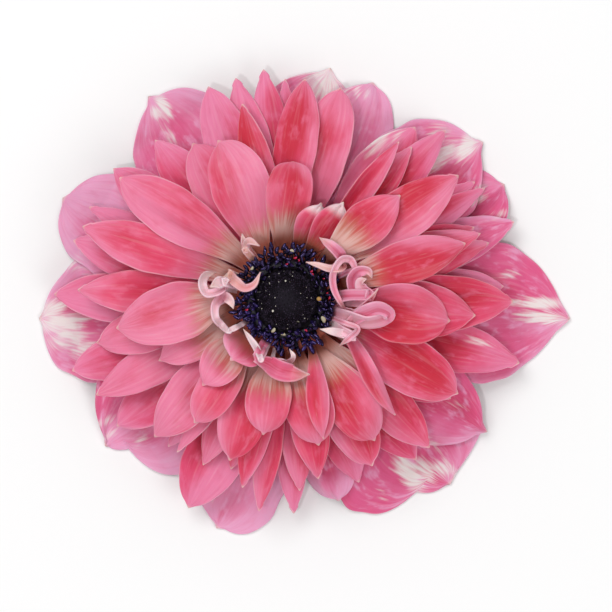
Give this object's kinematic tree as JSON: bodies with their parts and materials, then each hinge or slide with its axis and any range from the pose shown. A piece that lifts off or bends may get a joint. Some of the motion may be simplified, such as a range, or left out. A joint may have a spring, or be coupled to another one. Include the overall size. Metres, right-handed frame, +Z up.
{
  "type": "flower head",
  "caption": "Double anemone flower head with overlapping whorls of pointed petals round a ring of dark stamens and a domed pistil, cut below the bloom to lie face up.",
  "frame": {"origin": "middle of the footprint, at the level that the outer tepals rest on", "axes": "+Z up out of the bloom towards the viewer, +X along the bloom's longest spread"},
  "size_m": [0.0962, 0.0848, 0.0276],
  "materials": {
    "receptacle": "matte",
    "outer_tepals": "matte",
    "lower_petals": "matte",
    "middle_petals": "matte",
    "upper_petals": "matte",
    "inner_petals": "matte",
    "curled_petals": "matte",
    "stamens": "matte",
    "pistil": "matte"
  },
  "bodies": {
    "root": {"receptacle": "receptacle", "outer_tepals": "outer_tepals", "lower_petals": "lower_petals", "middle_petals": "middle_petals", "upper_petals": "upper_petals", "inner_petals": "inner_petals", "curled_petals": "curled_petals", "stamens": "stamens", "pistil": "pistil"}
  },
  "joints": []
}
